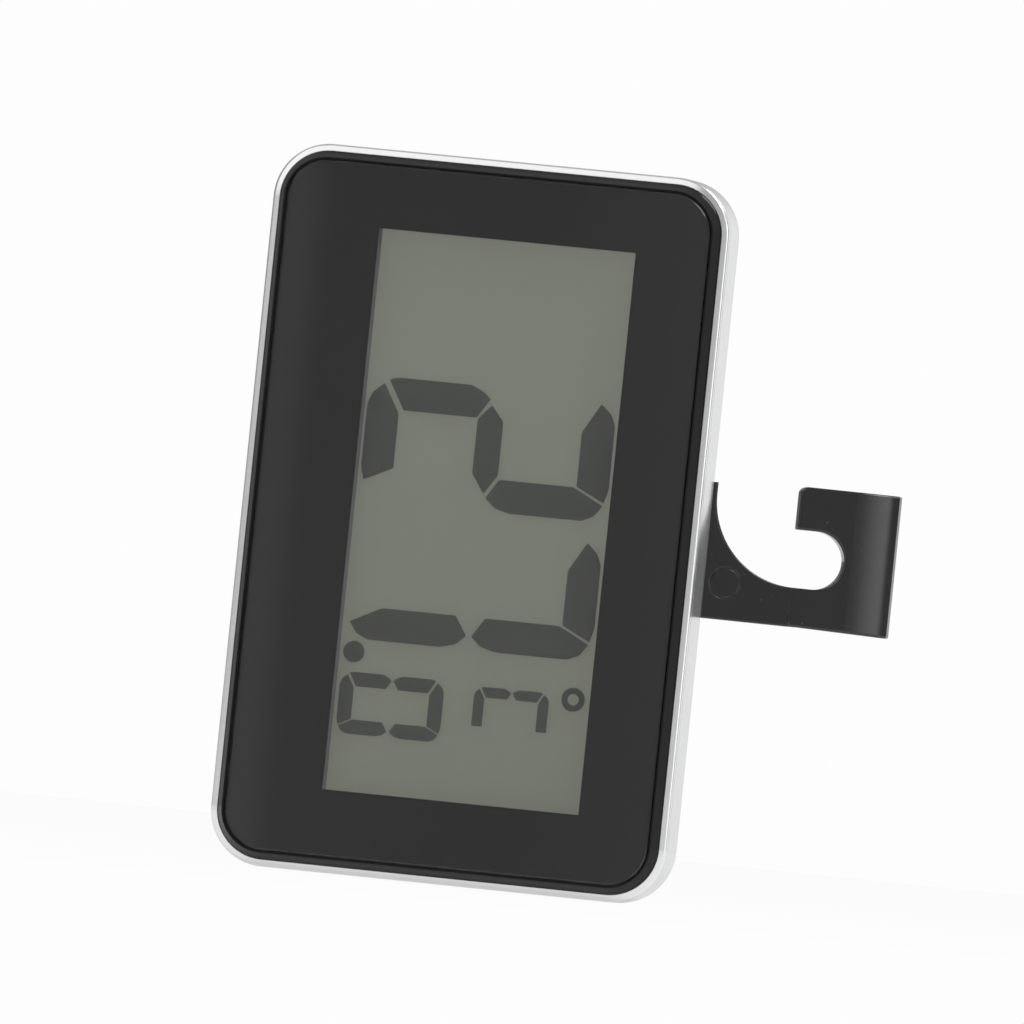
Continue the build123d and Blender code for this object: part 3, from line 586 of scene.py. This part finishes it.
def add_world():
    """White behind the object for the camera; shaded studio walls for light and reflections."""
    s = Studio("studio")
    bpy.context.scene.world = s.world
    parts = s.add("ShaderNodeSeparateXYZ")
    s.join(s.coords, parts.inputs[0])
    x, y, z = parts.outputs
    angle = s.math("ARCTAN2", x, s.math("MULTIPLY", y, -1.0))
    walls = s.add("ShaderNodeValToRGB")
    s.join(s.math("ADD", s.math("DIVIDE", angle, math.tau), 0.5), walls.inputs[0])
    stops = walls.color_ramp.elements
    stops.remove(stops[1])
    for number, (degrees, strength) in enumerate(STUDIO_WALLS):
        place = degrees / 360 + 0.5
        stop = stops[0] if number == 0 else stops.new(place)
        stop.position = place
        shade = strength / BRIGHTEST
        stop.color = rgba(grey(shade))
    strength = s.math("MULTIPLY", walls.outputs[0], BRIGHTEST)
    up = s.ramp(z, 0.0, 1.0, at=TOP_FADE)
    down = s.ramp(z, 1.0, 0.0, at=BOTTOM_FADE)
    strength = s.blend(up, strength, s.ramp(y, STUDIO_TOP, STUDIO_TOP_BACK, at=TOP_BACK_FADE))
    strength = s.blend(down, strength, STUDIO_BOTTOM)
    shaded = s.add("ShaderNodeBackground")
    s.join(strength, shaded.inputs["Strength"])
    shaded.inputs["Color"].default_value = rgba(grey(1.0))
    plain = s.add("ShaderNodeBackground")
    plain.inputs["Color"].default_value = rgba(grey(1.0))
    plain.inputs["Strength"].default_value = BACKDROP_WHITE
    mix = s.add("ShaderNodeMixShader")
    s.join(s.add("ShaderNodeLightPath").outputs["Is Camera Ray"], mix.inputs[0])
    s.join(shaded.outputs[0], mix.inputs[1])
    s.join(plain.outputs[0], mix.inputs[2])
    s.join(mix.outputs[0], s.output.inputs["Surface"])


def add_plane(name, material, corners, only_mirrored=False):
    """One flat face of the studio, which is not a part of the object."""
    mesh = bpy.data.meshes.new(name)
    mesh.from_pydata(corners, [], [(0, 1, 2, 3)])
    mesh.materials.append(material)
    plane = bpy.data.objects.new(name, mesh)
    bpy.context.scene.collection.objects.link(plane)
    if only_mirrored:
        plane.visible_camera = False
        plane.visible_diffuse = False
        plane.visible_shadow = False


def mirrored(camera_place, x):
    """Where the camera, looking at the lens at x, sees the reflection card."""
    return x + (x - camera_place.x) * CARD_AT_Y / camera_place.y


def add_front_card(camera_place):
    """Dim wall in front of the lens, seen only in reflections."""
    lens_low, lens_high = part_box("front_lens")
    left, right = mirrored(camera_place, lens_low.x), mirrored(camera_place, lens_high.x)
    strip = mirrored(camera_place, lens_low.x + STRIP_WIDTH * MM)
    s = Shader("dim_wall")
    parts = s.add("ShaderNodeSeparateXYZ")
    s.join(s.coords, parts.inputs[0])
    x, _, z = parts.outputs
    soft = STRIP_SOFT * MM
    width = right - left
    strip_part = s.ramp(x, STRIP_GAIN, 0.0, at=(strip - soft, strip + soft))
    side_part = s.ramp(x, 0.0, SIDE_GAIN, at=(right - SIDE_SPAN * width, right))
    corner_x = s.ramp(x, CORNER_GAIN, 0.0, at=(left, left + CORNER_SPAN * width))
    corner_z = s.ramp(z, 1.0, 0.0, at=scaled(width, CORNER_HEIGHT))
    strength = s.math("ADD", s.math("ADD", strip_part, side_part), s.math("MULTIPLY", corner_x, corner_z))
    glow = s.add("ShaderNodeEmission")
    s.join(s.math("ADD", strength, DIM_WALL), glow.inputs["Strength"])
    far_left = left - CARD_LEFT * width
    far_right = right + CARD_RIGHT * width
    add_plane("dim_wall", s.done(glow.outputs[0]), (
        (far_left, CARD_AT_Y, CARD_BOTTOM), (far_right, CARD_AT_Y, CARD_BOTTOM),
        (far_right, CARD_AT_Y, CARD_TOP), (far_left, CARD_AT_Y, CARD_TOP)), only_mirrored=True)


def add_floor():
    """Pale floor under the object, nearly as white as the backdrop."""
    level = CAD_BOX[0].z - FLOOR_GAP * MM
    s = Shader("floor_white")
    cloud = s.noise(0.002, detail=3.0, seed=60.0)
    tone = s.mix_colour(cloud, grey(0.86), grey(0.89))
    matt = s.surface(base_color=tone, roughness=0.7)
    glow = s.add("ShaderNodeEmission")
    glow.inputs["Strength"].default_value = BACKDROP_WHITE
    mix = s.add("ShaderNodeMixShader")
    ray = s.add("ShaderNodeLightPath")
    seen = s.math("MULTIPLY", ray.outputs["Is Camera Ray"], FLOOR_GLOW)
    mirrored_share = s.math("MULTIPLY", ray.outputs["Is Glossy Ray"], FLOOR_SHEEN)
    s.join(s.math("MAXIMUM", seen, mirrored_share), mix.inputs[0])
    s.join(matt, mix.inputs[1])
    s.join(glow.outputs[0], mix.inputs[2])
    add_plane("studio_floor", s.done(mix.outputs[0]), (
        (-FLOOR_REACH, -FLOOR_FRONT, level), (FLOOR_REACH, -FLOOR_FRONT, level),
        (FLOOR_REACH, FLOOR_REACH, level), (-FLOOR_REACH, FLOOR_REACH, level)))


def add_softbox(name, direction, distance, size, watts):
    """Square soft light that points at the object."""
    data = bpy.data.lights.new(name, "AREA")
    data.shape = "SQUARE"
    data.size = size
    data.energy = watts
    lamp = bpy.data.objects.new(name, data)
    bpy.context.scene.collection.objects.link(lamp)
    lamp.location = Vector(direction).normalized() * distance
    lamp.rotation_euler = (-lamp.location).to_track_quat("-Z", "Y").to_euler()
    lamp.visible_camera = False


def build():
    finish_nodes()
    add_window_liner()
    camera_place = add_camera()
    add_world()
    add_front_card(camera_place)
    add_floor()
    for softbox in SOFTBOXES:
        add_softbox(*softbox)
    scene = bpy.context.scene
    scene.view_settings.view_transform = "Standard"
    scene.cycles.transparent_max_bounces = CLEAR_BOUNCES
    scene.cycles.max_bounces = BOUNCES
    scene.cycles.transmission_bounces = BOUNCES


build()
